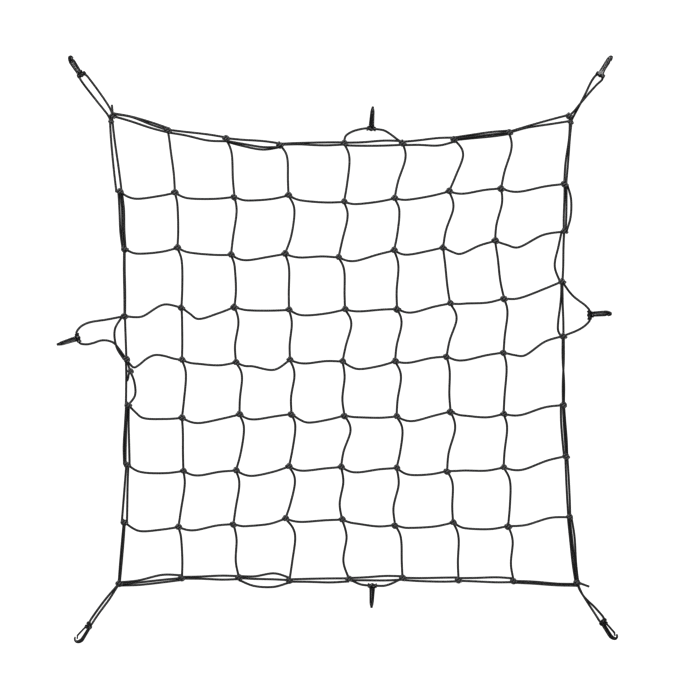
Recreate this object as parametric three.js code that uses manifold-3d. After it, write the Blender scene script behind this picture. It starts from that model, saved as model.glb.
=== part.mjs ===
// An elastic cargo net, spread out flat. Eight by eight meshes of shock cord are knotted where they cross,
// inside a border of two to four cords laid side by side. A loop at each corner, and one in the middle of
// each side, holds a moulded snap hook. Sizes are in millimetres. The net lies on z = 0 with +Z up, its
// longer side along Y, and the origin under the middle of everything.

import * as THREE from "three";
import { mergeVertices } from "three/addons/utils/BufferGeometryUtils.js";
import Module from "manifold-3d";

const wasm = await Module();
wasm.setup();

// The net as it is tied: even meshes, knot to knot, about a centre that is a little off the origin.
const MESHES = 8;
const MESH_PITCH = 112;
const NET_CENTRE = { x: 16, y: -15 };
const BOW_NEAR = 0.3; // where along a cord, from knot to knot, its two bows are given
const BOW_FAR = 0.7;
const SHARP_BOW = 13; // a cord that bows further than this takes more steps
const SLIGHT_BOW = 2; // and one that bows no further than this takes fewer

// The cord and its knots.
const CORD_DIAMETER = 4;
const CORD_RADIUS = CORD_DIAMETER / 2;
const NET_CORD_SIDES = 5;
const LOOP_CORD_SIDES = 8;
const KNOT_SIDES = 6;
const KNOT_LEAN = -Math.PI / 4; // a knot is longest from upper left to lower right
const KNOT_LONG = 1.14;
const KNOT_SHORT = 0.92;
const BORDER_KNOT_SCALE = 1.12;
const TOUCH_GAP = 0.3; // between one piece and the next
const SIDE_BY_SIDE = 4.6; // from the middle of one border cord to the next, where they leave a knot
const SMALLEST_STEP = 0.2; // a smaller bump or edge is smoothed away

// How far each knot lies from its place in an even net, to the right and up. One row of knots to a line,
// top first.
const KNOT_ROWS = [
  { right: [-14, -16, -12, -16, 0, 5, -4, -6, 2], up: [34, 5, -11, -23, -20, -19, -12, 1, 35] },
  { right: [0, -2, 5, 1, 0, -11, -14, -22, -7], up: [-5, -7, -15, -12, -25, -18, -4, 2, 11] },
  { right: [10, 3, -2, -6, -11, -12, -26, -34, -8], up: [-7, -5, -19, -17, -24, -10, -4, 9, 28] },
  { right: [10, 11, 5, 2, 2, -6, -12, -16, -12], up: [-29, -12, -11, -17, -16, -15, -4, 6, 40] },
  { right: [13, 12, 8, 4, -3, -10, -19, -17, -10], up: [-4, -5, -10, -5, -8, -8, 2, 10, 43] },
  { right: [17, 12, 15, 7, 1, -7, -11, -17, -10], up: [17, -9, -2, -1, -4, -6, 4, -1, 17] },
  { right: [15, 15, 8, 2, -6, -7, -18, -17, -4], up: [10, -3, -2, 6, 5, 3, -3, 4, 27] },
  { right: [9, 5, 3, -5, -4, -10, -6, -8, 2], up: [7, -3, 3, 14, 12, 1, 6, -1, 17] },
  { right: [-1, 12, 14, 3, 10, 5, 5, 3, 18], up: [-3, 8, 8, 3, 5, 7, 4, 2, -1] },
];

// One mesh cord starts at a knot of its own, a little below the fifth knot of the left border.
const SPARE_KNOT = new THREE.Vector2(-411, -43);
const SPARE_ROW = 4;

// How far each cord bows below the straight line from knot to knot: near its left knot, then near its right
// one. A line for each row of inner cords, top first, with its eight meshes from the left.
const ROW_BOWS = [
  [[13, 7], [9, 6], [8, 6], [7, 5], [6, 4], [6, 4], [6, 1], [9, 2]],
  [[10, 7], [6, 4], [11, 5], [5, 0], [11, 4], [10, 5], [17, 5], [19, 1]],
  [[6, -11], [23, 12], [5, 3], [11, 7], [4, 1], [10, 3], [3, 5], [8, 4]],
  [[-17, -10], [6, 7], [9, 18], [6, 0], [15, 9], [5, 0], [10, 3], [17, 1]],
  [[18, 10], [12, 6], [10, 4], [16, 9], [3, 3], [12, 5], [7, 8], [7, -1]],
  [[12, 8], [9, 2], [13, 8], [8, 3], [10, 3], [12, 8], [1, 4], [11, 2]],
  [[15, 8], [8, 1], [7, 7], [6, 2], [5, 6], [7, 6], [10, 8], [3, -4]],
];

// The same for each column of inner cords, left first, with its eight meshes from the top: the bow to the
// right near the upper knot, then near the lower one.
const COLUMN_BOWS = [
  [[1, 2], [4, 3], [7, 4], [1, 1], [8, 4], [1, 0], [5, 2], [4, 3]],
  [[7, 2], [6, 2], [6, 5], [7, -1], [10, 3], [11, 7], [8, 3], [3, -3]],
  [[10, 4], [14, 10], [6, 2], [5, 0], [8, 0], [9, 5], [14, 8], [17, 8]],
  [[11, 6], [10, 4], [8, 3], [14, 5], [3, -3], [14, 3], [4, -4], [5, -7]],
  [[10, 2], [10, 6], [7, 1], [10, 2], [11, 3], [12, 7], [5, -4], [8, 3]],
  [[21, 10], [12, 2], [0, -1], [15, 4], [4, 0], [11, 1], [8, 2], [8, 2]],
  [[9, 2], [5, -1], [0, -2], [7, 2], [6, 2], [7, 2], [11, 6], [6, -2]],
];

// The border's cords, a line for each mesh along the side, and in it the bows of each cord that lies there.
const BORDER_SIDES = {
  top: [
    [[-9, -7], [-6, -5], [-1, 1]],
    [[-3, -4], [4, 8]],
    [[-2, -4], [6, 8], [10, 13]],
    [[-3, -3], [0, 3]],
    [[-2, -5], [5, 5]],
    [[-3, -5], [6, 10]],
    [[-5, -6], [-1, -1], [2, 3]],
    [[-3, -3], [0, 6]],
  ],
  bottom: [
    [[-2, -9], [2, 1], [7, 6]],
    [[-2, -4], [2, 4]],
    [[-4, -12], [1, 0], [15, 15]],
    [[-2, -2], [4, 6]],
    [[-3, -5], [3, 4]],
    [[-1, -3], [5, 5]],
    [[-4, -6], [3, 4]],
    [[1, 4], [5, 7]],
  ],
  left: [
    [[-8, -8], [-1, 2]],
    [[-4, -6], [1, -2], [5, 2]],
    [[-2, -1], [0, 1]],
    [[0, 0], [-21, -19]],
    [[-3, -4]],
    [[-6, -8], [-3, -4], [1, 3]],
    [[-4, -6], [1, 3]],
    [[-4, -4], [2, 1]],
  ],
  right: [
    [[3, -1], [4, 4]],
    [[0, -1], [4, 4], [10, 13]],
    [[-10, -16], [0, 1]],
    [[-4, -10], [0, 1]],
    [[-1, 2], [1, -1]],
    [[-6.6, -5.6], [-2, -1], [2.6, 3.6]],
    [[-2, -2], [3, 3]],
    [[-4.6, -3.6], [0, 1], [5, 2]],
  ],
};
const SPARE_OVAL = [9, 12]; // the bow of the cord that runs from the spare knot down to the next border knot

// Two corners have a smaller knot below the large one.
const SECOND_KNOTS = [
  { place: [-449.4, 456.8], scale: 0.8 },
  { place: [468.6, 454.8], scale: 0.86 },
];

// The border cords that end at such a knot: how far to the side of the corner's large knot.
const CORNER_ENDS = [
  { side: "left", mesh: 0, cord: 0, aside: -6.4 },
  { side: "left", mesh: 0, cord: 1, aside: -2.0 },
  { side: "top", mesh: 7, cord: 1, aside: 10.5 },
  { side: "right", mesh: 0, cord: 0, aside: 1.6 },
  { side: "right", mesh: 0, cord: 1, aside: 6.0 },
];

// Free ends that stick out of a knot: where each ends.
const FREE_ENDS = [
  { row: 0, column: 0, end: [-448, 490] },
  { row: 8, column: 8, end: [506, -473] },
];

// The hooks. base is the middle of the T-bar seen from above, heading the way from base to tip, and roll
// how far the gate leans over to the right of that way (or to the left, where it is negative), both in
// degrees. The top right hook lies on its nose.
const HOOKS = {
  top_left: { base: [-507.8, 549.2], heading: 127.8, roll: 30 },
  top_right: { base: [527.6, 549], heading: 61.4, roll: 160 },
  bottom_left: { base: [-492, -549], heading: 240, roll: 65 },
  bottom_right: { base: [532.6, -542], heading: 300.5, roll: -48 },
  top: { base: [70.4, 442], heading: 85.8, roll: 0 },
  bottom: { base: [72.6, -470.6], heading: 267.7, roll: 0 },
  left: { base: [-515.2, 24.2], heading: 198.1, roll: 0 },
  right: { base: [506, 69.6], heading: 7.4, roll: 22 },
};

// The loops: the border knots, as row and column, that each starts from and ends at, and the points that it
// passes on its way to the hook and back. A third number lifts it over the loop's other leg. On a corner
// loop the cord turns round inside the hook.
const LOOPS = {
  top_left: {
    from: [0, 0],
    out: [[-453.6, 466.2], [-478, 497.4], [-502, 528]],
    back: [[-484, 530.4], [-451, 481.4]],
    to: [0, 0],
  },
  top_right: {
    from: [0, 8],
    out: [[474.6, 466.6], [482, 480.6], [491, 497.4], [500, 515], [509.6, 535.6]],
    back: [[519.6, 528.6], [504.6, 512, 1], [491, 496, 4.4], [480.6, 483.4, 4.4], [473, 474, 2.6]],
    to: [0, 8],
  },
  bottom_left: {
    from: [8, 0],
    out: [[-459, -496], [-480, -524]],
    back: [[-472, -524], [-453, -498]],
    to: [8, 0],
  },
  bottom_right: {
    from: [8, 8],
    out: [[493.8, -490.4], [519, -516]],
    back: [[511, -517.6], [494, -491, 4.4], [487, -480, 4.4]],
    to: [8, 8],
  },
  top: {
    from: [0, 4],
    out: [[18, 425.6], [27, 434.6], [38, 437.2], [50, 442.4]],
    back: [[89, 440.8], [101.8, 436.2], [118, 424.4]],
    to: [0, 5],
  },
  bottom: {
    from: [8, 4],
    out: [[38, -463.8], [52.4, -469.2]],
    back: [[92, -471.6], [108.6, -467.8]],
    to: [8, 5],
  },
  left: {
    from: [3, 0],
    out: [[-462.4, 60.2], [-487.8, 56.4], [-505.6, 50], [-515.5, 41]],
    back: [[-503.2, 11.6], [-490.4, 12.2], [-475, 18], [-459.8, 19.4], [-444.4, 14.2], [-434.2, 2.8]],
    to: [4, 0],
  },
  right: {
    from: [3, 8],
    out: [[470.8, 111.2], [488.6, 95.8], [500, 86.5]],
    back: [[497.6, 48.6], [483.6, 39.8], [468.2, 33.4]],
    to: [4, 8],
  },
};
const LOOP_TURN_RADIUS = 8.5; // of a corner loop's cord where it turns round in the hook
const STRAIGHT_WAY = 11; // how far to each side a side loop's cord runs straight through the T-bar
const LOOP_DROP = 45; // the way in which a cord comes down from the hook to the floor
const LOOP_STEP = 15;

// The hook, in its own frame: u runs from the T-bar to the tip, t along the T-bar, and w towards the gate,
// from the middle of the T-bar.
const BAR_LENGTH = 18;
const BAR_KNUCKLE_RADIUS = 4.4;
const BAR_VALLEY_RADIUS = 3.6;
const BAR_SIDES = 8;
const BORE_RADIUS = 2.6;
const BORE_SIDES = 6;

// The strap's middle line and section, from the T-bar round the bend to the nose. turn is the strap's
// direction there, in degrees from u towards w.
const STRAP_SECTIONS = [
  { u: 1.5, w: -1.6, turn: 0, thick: 5.2, wide: 17 },
  { u: 4.6, w: -2.1, turn: 0, thick: 4.2, wide: 13 },
  { u: 7.8, w: -2.7, turn: 0, thick: 3.0, wide: 10.6 },
  { u: 31, w: -2.0, turn: 4, thick: 4.4, wide: 8.4 },
  { u: 36, w: -0.8, turn: 24, thick: 4.8, wide: 7.6 },
  { u: 40, w: 2.4, turn: 56, thick: 4.8, wide: 5.0 },
  { u: 41.6, w: 6.4, turn: 92, thick: 4.2, wide: 3.8 },
  { u: 40.4, w: 10.2, turn: 128, thick: 3.4, wide: 3.4 },
  { u: 37.4, w: 12.8, turn: 156, thick: 2.8, wide: 3.2 },
  { u: 33.4, w: 13.8, turn: 170, thick: 2.2, wide: 3.2 },
];
const BEND_START = 3; // the section where the bend begins

// The gate: a flat tongue that turns on a short pin between two cheeks on the hook's base. Its end is bent
// in and lies behind the nose.
const GATE_PIN = { u: 5.0, w: 5.0 };
const GATE_PIN_RADIUS = 0.7;
const GATE_ROOT_ROOM = 2.0; // free space in the hook for the gate's root to turn in
const GATE_WIDTH = 3.6;
const GATE_SECTIONS = [
  { u: 4.0, w: 4.7, turn: 14, thick: 2.4 },
  { u: 9, w: 6.1, turn: 15, thick: 2.0 },
  { u: 26, w: 10.6, turn: 15, thick: 2.1 },
  { u: 29.4, w: 11.1, turn: -20, thick: 2.1 },
  { u: 32, w: 9.6, turn: -32, thick: 1.7 },
  { u: 35.4, w: 8.6, turn: -4, thick: 1.5 },
];
const CHEEK_THICKNESS = 1.4;
const CHEEK_OUTLINE = [[0.5, 0], [8.2, -2.5], [7, 6.6], [3, 6.6]];
const PIN_CLEARANCE = 0.35;

const NET_FINISH = { color: 0x1b1b1d, roughness: 0.85, metalness: 0 };
const HOOK_FINISH = { color: 0x0d0d0f, roughness: 0.32, metalness: 0 };
const GATE_FINISH = { color: 0x151518, roughness: 0.35, metalness: 0 };

// ---- Solids ----

// A three.js geometry as a solid that can be joined and cut.
function solidOf(geometry) {
  const bare = geometry.clone();
  bare.deleteAttribute("normal");
  bare.deleteAttribute("uv");
  const merged = mergeVertices(bare, 1e-4);
  return new wasm.Manifold(
    new wasm.Mesh({
      numProp: 3,
      vertProperties: new Float32Array(merged.attributes.position.array),
      triVerts: new Uint32Array(merged.index.array),
    }),
  );
}

// A solid as a three.js geometry.
function geometryOf(solid) {
  const mesh = solid.getMesh();
  const geometry = new THREE.BufferGeometry();
  geometry.setAttribute("position", new THREE.BufferAttribute(mesh.vertProperties, 3));
  geometry.setIndex(new THREE.BufferAttribute(mesh.triVerts, 1));
  geometry.computeVertexNormals();
  return geometry;
}

const joined = (solids) => wasm.Manifold.union(solids);

// Merges the faces that lie in one plane, and edges too short to matter.
const plainer = (solid) => solid.asOriginal().simplify(SMALLEST_STEP);

// A closed skin over a row of rings that have the same number of points each.
function loft(rings) {
  const sides = rings[0].length;
  const positions = rings.flat().flatMap((point) => [point.x, point.y, point.z]);
  const faces = [];
  for (let ring = 0; ring < rings.length - 1; ring++) {
    for (let side = 0; side < sides; side++) {
      const a = ring * sides + side;
      const b = ring * sides + ((side + 1) % sides);
      faces.push(a, b, b + sides, a, b + sides, a + sides);
    }
  }
  const last = (rings.length - 1) * sides;
  for (let side = 1; side < sides - 1; side++) {
    faces.push(0, side + 1, side);
    faces.push(last, last + side, last + side + 1);
  }
  const geometry = new THREE.BufferGeometry();
  geometry.setAttribute("position", new THREE.Float32BufferAttribute(positions, 3));
  geometry.setIndex(faces);
  return geometry;
}

// ---- Cords ----

// A curve through its points that steps evenly from point to point, so that tight turns get as many steps
// as the points there.
class CordRoute extends THREE.CatmullRomCurve3 {
  getPointAt(share, target) {
    return this.getPoint(share, target);
  }
  getTangentAt(share, target) {
    return this.getTangent(share, target);
  }
}

// A regular polygon with one flat side towards +x, which an extrusion along a level path turns to the
// floor.
function cordSection(sides, radius) {
  const section = new THREE.Shape();
  for (let side = 0; side < sides; side++) {
    const angle = ((2 * side + 1) * Math.PI) / sides;
    const corner = [radius * Math.cos(angle), radius * Math.sin(angle)];
    if (side === 0) section.moveTo(...corner);
    else section.lineTo(...corner);
  }
  return section;
}

function cordSolid(route, steps, sides, radius) {
  return solidOf(
    new THREE.ExtrudeGeometry(cordSection(sides, radius), {
      steps,
      bevelEnabled: false,
      extrudePath: route,
    }),
  );
}

// A net cord's five-sided section is as tall as the cord, and lies on one of its flats.
const NET_SECTION_RADIUS = CORD_DIAMETER / (1 + Math.cos(Math.PI / NET_CORD_SIDES));
const NET_CORD_HEIGHT = NET_SECTION_RADIUS * Math.cos(Math.PI / NET_CORD_SIDES);

// The cord from one knot to the next, bowing to its right-hand side as seen when walking from start to end.
// Cords that share both knots leave them side by side, each moved over by its slot.
function netCord(start, end, bows, clearance, slot = 0, endSlot = slot) {
  const along = end.clone().sub(start);
  const aside = new THREE.Vector2(along.y, -along.x).normalize();
  const at = (share, bow) => {
    const place = start.clone().addScaledVector(along, share).addScaledVector(aside, bow);
    return new THREE.Vector3(place.x, place.y, NET_CORD_HEIGHT);
  };
  const route = new CordRoute([at(0, slot), at(BOW_NEAR, bows[0]), at(BOW_FAR, bows[1]), at(1, endSlot)]);
  const bow = Math.max(Math.abs(bows[0]), Math.abs(bows[1]));
  const steps = bow > SHARP_BOW ? 6 : bow > SLIGHT_BOW ? 3 : 2;
  return cordSolid(route, steps, NET_CORD_SIDES, NET_SECTION_RADIUS + clearance);
}

// ---- Knots ----

// A knot's outline from the floor up.
const KNOT_OUTLINE = [
  { radius: 4.4, height: 0 },
  { radius: 5.6, height: 4.2 },
  { radius: 3.6, height: 8.6 },
];

function knotSolid(place, scale, clearance) {
  const top = KNOT_OUTLINE.length - 1;
  const outline = KNOT_OUTLINE.map(
    ({ radius, height }) => new THREE.Vector2(radius * scale + clearance, height * scale),
  );
  outline[0].y -= clearance;
  outline[top].y += clearance;
  outline.unshift(new THREE.Vector2(0, outline[0].y));
  outline.push(new THREE.Vector2(0, outline[top + 1].y));
  const geometry = new THREE.LatheGeometry(outline, KNOT_SIDES);
  geometry.rotateX(Math.PI / 2);
  geometry.scale(KNOT_LONG, KNOT_SHORT, 1);
  geometry.rotateZ(KNOT_LEAN);
  geometry.translate(place.x, place.y, 0);
  return solidOf(geometry);
}

function knotPlace(row, column) {
  const even = {
    x: NET_CENTRE.x + (column - MESHES / 2) * MESH_PITCH,
    y: NET_CENTRE.y + (MESHES / 2 - row) * MESH_PITCH,
  };
  return new THREE.Vector2(even.x + KNOT_ROWS[row].right[column], even.y + KNOT_ROWS[row].up[column]);
}

// ---- The net ----

const isBorder = (row, column) => row % MESHES === 0 || column % MESHES === 0;

function eachKnot(visit) {
  for (let row = 0; row <= MESHES; row++) {
    for (let column = 0; column <= MESHES; column++) visit(row, column);
  }
}

// The edge cords and their knots. A clearance makes them that much fatter, to cut their neighbours with.
function borderSolid(clearance) {
  const pieces = [];
  for (let mesh = 0; mesh < MESHES; mesh++) {
    const spans = {
      top: [knotPlace(0, mesh), knotPlace(0, mesh + 1)],
      bottom: [knotPlace(MESHES, mesh), knotPlace(MESHES, mesh + 1)],
      left: [knotPlace(mesh + 1, 0), knotPlace(mesh, 0)],
      right: [knotPlace(mesh + 1, MESHES), knotPlace(mesh, MESHES)],
    };
    for (const [side, [start, end]] of Object.entries(spans)) {
      const upright = side === "left" || side === "right";
      const cords = BORDER_SIDES[side][mesh];
      cords.forEach((bows, place) => {
        const slot = (place - (cords.length - 1) / 2) * SIDE_BY_SIDE;
        const atCorner = CORNER_ENDS.find(
          (each) => each.side === side && each.mesh === mesh && each.cord === place,
        );
        const inOrder = upright ? bows.toReversed() : bows;
        pieces.push(netCord(start, end, inOrder, clearance, slot, atCorner?.aside));
      });
    }
  }
  pieces.push(netCord(knotPlace(SPARE_ROW + 1, 0), SPARE_KNOT, SPARE_OVAL.toReversed(), clearance));
  pieces.push(netCord(SPARE_KNOT, knotPlace(SPARE_ROW, 0), [0, 0], clearance));
  for (const { row, column, end } of FREE_ENDS) {
    pieces.push(netCord(knotPlace(row, column), new THREE.Vector2(...end), [0, 0], clearance));
  }
  pieces.push(knotSolid(SPARE_KNOT, 1, clearance));
  for (const { place, scale } of SECOND_KNOTS) {
    pieces.push(knotSolid(new THREE.Vector2(...place), scale, clearance));
  }
  eachKnot((row, column) => {
    if (isBorder(row, column)) pieces.push(knotSolid(knotPlace(row, column), BORDER_KNOT_SCALE, clearance));
  });
  return joined(pieces);
}

// The inner cords and their knots, cut back from the border that they are tied to.
function meshSolid(borderWithGap) {
  const pieces = [];
  for (let line = 1; line < MESHES; line++) {
    for (let mesh = 0; mesh < MESHES; mesh++) {
      const spare = line === SPARE_ROW && mesh === 0;
      const left = spare ? SPARE_KNOT : knotPlace(line, mesh);
      pieces.push(netCord(left, knotPlace(line, mesh + 1), ROW_BOWS[line - 1][mesh], 0));
      const bows = COLUMN_BOWS[line - 1][mesh].toReversed();
      pieces.push(netCord(knotPlace(mesh + 1, line), knotPlace(mesh, line), bows, 0));
    }
  }
  eachKnot((row, column) => {
    if (!isBorder(row, column)) pieces.push(knotSolid(knotPlace(row, column), 1, 0));
  });
  return joined(pieces).subtract(borderWithGap);
}

// ---- Hooks and gates ----

// A strap's rings: rectangles across its middle line.
function strapRings(sections, width) {
  return sections.map(({ u, w, turn, thick, wide = width }) => {
    const angle = THREE.MathUtils.degToRad(turn);
    const across = { u: -Math.sin(angle) * (thick / 2), w: Math.cos(angle) * (thick / 2) };
    const corners = [[-1, -1], [-1, 1], [1, 1], [1, -1]];
    return corners.map(
      ([up, left]) => new THREE.Vector3(u + up * across.u, (left * wide) / 2, w + up * across.w),
    );
  });
}

// A round bar along t about a point of the hook's plane.
function crossBar(u, w, radius, length, sides = BAR_SIDES) {
  const geometry = new THREE.CylinderGeometry(radius, radius, length, sides);
  geometry.rotateY(Math.PI / sides);
  geometry.translate(u, 0, w);
  return solidOf(geometry);
}

// The T-bar, with three knuckles.
function barSolid() {
  const half = BAR_LENGTH / 2;
  const outline = [0, 0.25, 0.5, 0.75, 1].map((share) => {
    const knuckle = share % 0.5 === 0;
    return new THREE.Vector2(knuckle ? BAR_KNUCKLE_RADIUS : BAR_VALLEY_RADIUS, -half + share * BAR_LENGTH);
  });
  outline.unshift(new THREE.Vector2(0, -half));
  outline.push(new THREE.Vector2(0, half));
  const geometry = new THREE.LatheGeometry(outline, BAR_SIDES);
  geometry.rotateY(Math.PI / BAR_SIDES);
  return solidOf(geometry);
}

// The two cheeks that hold the gate's pin.
function cheekSolids() {
  const outline = new THREE.Shape(CHEEK_OUTLINE.map((corner) => new THREE.Vector2(...corner)));
  const inner = GATE_WIDTH / 2 + TOUCH_GAP;
  return [inner, -inner - CHEEK_THICKNESS].map((start) => {
    const plate = new THREE.ExtrudeGeometry(outline, { depth: CHEEK_THICKNESS, bevelEnabled: false });
    plate.rotateX(Math.PI / 2);
    plate.translate(0, start + CHEEK_THICKNESS, 0);
    return solidOf(plate);
  });
}

function strapSolid(from = 0, to = STRAP_SECTIONS.length) {
  return solidOf(loft(strapRings(STRAP_SECTIONS.slice(from, to))));
}

// The hook, with room for its gate and, on a side hook, a straight bore for the loop. A corner hook is cut
// by its own loop's turn.
function hookBody(bored) {
  const body = joined([strapSolid(), barSolid(), ...cheekSolids()])
    .subtract(crossBar(GATE_PIN.u, GATE_PIN.w, GATE_PIN_RADIUS + PIN_CLEARANCE, BAR_LENGTH, 6))
    .subtract(crossBar(GATE_PIN.u, GATE_PIN.w, GATE_ROOT_ROOM, GATE_WIDTH + 2 * TOUCH_GAP, 6));
  return bored ? body.subtract(crossBar(0, 0, BORE_RADIUS, 2 * BAR_LENGTH, BORE_SIDES)) : body;
}

function gateBody() {
  const pinLength = GATE_WIDTH + 2 * (TOUCH_GAP + CHEEK_THICKNESS);
  return joined([
    solidOf(loft(strapRings(GATE_SECTIONS, GATE_WIDTH))),
    crossBar(GATE_PIN.u, GATE_PIN.w, GATE_PIN_RADIUS, pinLength, 6),
  ]);
}

const lowestPoint = (solid, frame) => solid.transform(frame.elements).boundingBox().min[2];

// Where a hook lies: rolled over, and pitched until its T-bar and the far end of its strap both rest on the
// floor.
function hookFrame({ base, heading, roll }) {
  const heel = joined([barSolid(), strapSolid(0, BEND_START + 1)]);
  const toe = strapSolid(BEND_START);
  const turned = (pitch) =>
    new THREE.Matrix4().makeRotationFromEuler(
      new THREE.Euler(THREE.MathUtils.degToRad(roll), pitch, THREE.MathUtils.degToRad(heading), "ZYX"),
    );
  let noseHigh = -Math.PI / 6;
  let noseLow = Math.PI / 6;
  for (let round = 0; round < 16; round++) {
    const middle = (noseHigh + noseLow) / 2;
    if (lowestPoint(toe, turned(middle)) > lowestPoint(heel, turned(middle))) noseHigh = middle;
    else noseLow = middle;
  }
  const frame = turned(noseHigh);
  return frame.setPosition(base[0], base[1], -Math.min(lowestPoint(heel, frame), lowestPoint(toe, frame)));
}

// ---- Loops ----

// The cord's way through the hook, in the hook's frame: straight through the T-bar, or round in a half
// circle.
function wayThrough(turnsRound) {
  if (!turnsRound) {
    return [-1, -0.5, 0.5, 1].map((side) => new THREE.Vector3(0, side * STRAIGHT_WAY, 0));
  }
  return [-90, -60, -30, 0, 30, 60, 90].map((degrees) => {
    const angle = THREE.MathUtils.degToRad(degrees);
    return new THREE.Vector3(
      LOOP_TURN_RADIUS * (Math.cos(angle) - 1),
      LOOP_TURN_RADIUS * Math.sin(angle),
      0,
    );
  });
}

// One leg of a loop, from its knot to where it enters the hook. It lies on the floor and rises to the hook.
function loopLeg(knot, places, exit) {
  const flat = (x, y, lift = 0) => new THREE.Vector3(x, y, lift);
  const plan = new THREE.CatmullRomCurve3([
    flat(knot.x, knot.y),
    ...places.map((place) => flat(...place)),
    flat(exit.x, exit.y),
  ]);
  const length = plan.getLength();
  const points = plan.getSpacedPoints(Math.ceil(length / LOOP_STEP));
  return points.slice(0, -1).map((point, index) => {
    const toHook = length * (1 - index / (points.length - 1));
    const share = Math.min(toHook / LOOP_DROP, 1);
    const rise = (exit.z - CORD_RADIUS) * (1 - share) ** 2 * (1 + 2 * share);
    return point.setZ(CORD_RADIUS + point.z + rise);
  });
}

const isCorner = (name) => LOOPS[name].from.join() === LOOPS[name].to.join();

function loopRoute(name, frame) {
  const { from, out, back, to } = LOOPS[name];
  const inside = wayThrough(isCorner(name)).map((point) => point.applyMatrix4(frame));
  const lastPlace = new THREE.Vector3(...out[out.length - 1]);
  if (lastPlace.distanceTo(inside[0]) > lastPlace.distanceTo(inside[inside.length - 1])) inside.reverse();
  return new CordRoute([
    ...loopLeg(knotPlace(...from), out, inside[0]),
    ...inside,
    ...loopLeg(knotPlace(...to), back.toReversed(), inside[inside.length - 1]).toReversed(),
  ]);
}

function loopSolid(name, frame, sides, radius) {
  const route = loopRoute(name, frame);
  return cordSolid(route, route.points.length - 1, sides, radius);
}

// The largest piece of a solid that was cut through.
const largestOf = (solid) => solid.decompose().reduce((a, b) => (a.volume() > b.volume() ? a : b));

// ---- The whole ----

function piece(name, solid, finish) {
  const mesh = new THREE.Mesh(geometryOf(plainer(solid)), new THREE.MeshStandardMaterial(finish));
  mesh.name = name;
  return mesh;
}

function cargoNet() {
  const net = new THREE.Group();
  const borderWithGap = borderSolid(TOUCH_GAP + SMALLEST_STEP);
  net.add(piece("mesh", meshSolid(borderWithGap), NET_FINISH));
  net.add(piece("border", borderSolid(0), NET_FINISH));
  const gate = gateBody();
  for (const [name, lie] of Object.entries(HOOKS)) {
    const frame = hookFrame(lie);
    const loop = loopSolid(name, frame, LOOP_CORD_SIDES, CORD_RADIUS).subtract(borderWithGap);
    const hook = hookBody(!isCorner(name)).transform(frame.elements);
    const cut = isCorner(name) ? hook.subtract(loopSolid(name, frame, BORE_SIDES, BORE_RADIUS)) : hook;
    net.add(piece(`loop_${name}`, largestOf(loop), NET_FINISH));
    net.add(piece(`hook_${name}`, cut, HOOK_FINISH));
    net.add(piece(`gate_${name}`, gate.transform(frame.elements), GATE_FINISH));
  }
  return net;
}

export default cargoNet();
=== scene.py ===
import math
import random

import bmesh
import bpy
from mathutils import Matrix, Vector


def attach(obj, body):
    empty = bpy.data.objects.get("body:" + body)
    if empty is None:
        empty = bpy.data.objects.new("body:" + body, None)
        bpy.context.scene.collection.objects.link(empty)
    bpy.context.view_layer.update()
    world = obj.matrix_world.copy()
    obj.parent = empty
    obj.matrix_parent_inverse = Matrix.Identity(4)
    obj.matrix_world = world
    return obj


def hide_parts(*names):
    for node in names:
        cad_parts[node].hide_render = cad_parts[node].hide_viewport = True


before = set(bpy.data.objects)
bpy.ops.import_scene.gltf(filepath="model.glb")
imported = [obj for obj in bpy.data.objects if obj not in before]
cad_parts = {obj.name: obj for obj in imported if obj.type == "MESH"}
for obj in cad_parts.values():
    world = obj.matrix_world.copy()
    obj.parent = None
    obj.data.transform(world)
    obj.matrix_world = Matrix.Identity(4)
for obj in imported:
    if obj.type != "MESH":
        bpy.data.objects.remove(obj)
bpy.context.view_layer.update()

MM = 0.001

# ---- The net's sizes, in millimetres, as in the CAD model ----

MESHES = 8
MESH_PITCH = 112
NET_CENTRE = (16, -15)
CORD_DIAMETER = 4.0
CORD_RADIUS = CORD_DIAMETER / 2
CORD_STEP = 3.4  # between the points of a cord's line
WEAVE_STARTS = (0, 50)  # each cord's weave starts somewhere in this length of it
BORDER_STEPS = 34  # in each cord of the border, so that cords side by side can be compared
LIFT_SMOOTHINGS = 3  # of how far a cord of the border rides up

# A knot at a scale of 1: turns of cord wrapped round the crossing, and a bight of cord along one side,
# given by its points' distances along the knot, to the side and up.
KNOT_HEIGHT = 3.4  # of the middle of a cord inside a knot
KNOT_RISE = 5  # the length in which a cord climbs into its knot
KNOT_LEAN = -45  # degrees: a knot is longest from upper left to lower right
LEAN_SPREAD = 12
WRAP_TURNS = 2.3
WRAP_STEPS = 20  # in each turn
WRAP_LENGTH = 9.4
WRAP_HALF_WIDTH = 3.3
WRAP_HALF_HEIGHT = 2.2
WRAP_NARROWING = 0.22
WRAP_SLANTS = (0.9, 1.5)
PHASE_SPREAD = 0.4
KNOT_CORD = 0.98  # of the cord's own radius: it is pulled tight there
KNOT_SINK = 0.02
BIGHT = [(-4.6, 0.6, 1.4), (-3.6, 3.4, 1.2), (0, 4.7, 1.6), (3.6, 3.4, 1.2), (4.6, 0.6, 1.4)]
CORE_HALF_LENGTH = 3.4
CORE_RADIUS = 2.0
KNOT_STEP = 1.2
INNER_KNOT_SCALES = (1.04, 1.2)
BORDER_KNOT_SCALES = (1.1, 1.16)

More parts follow.
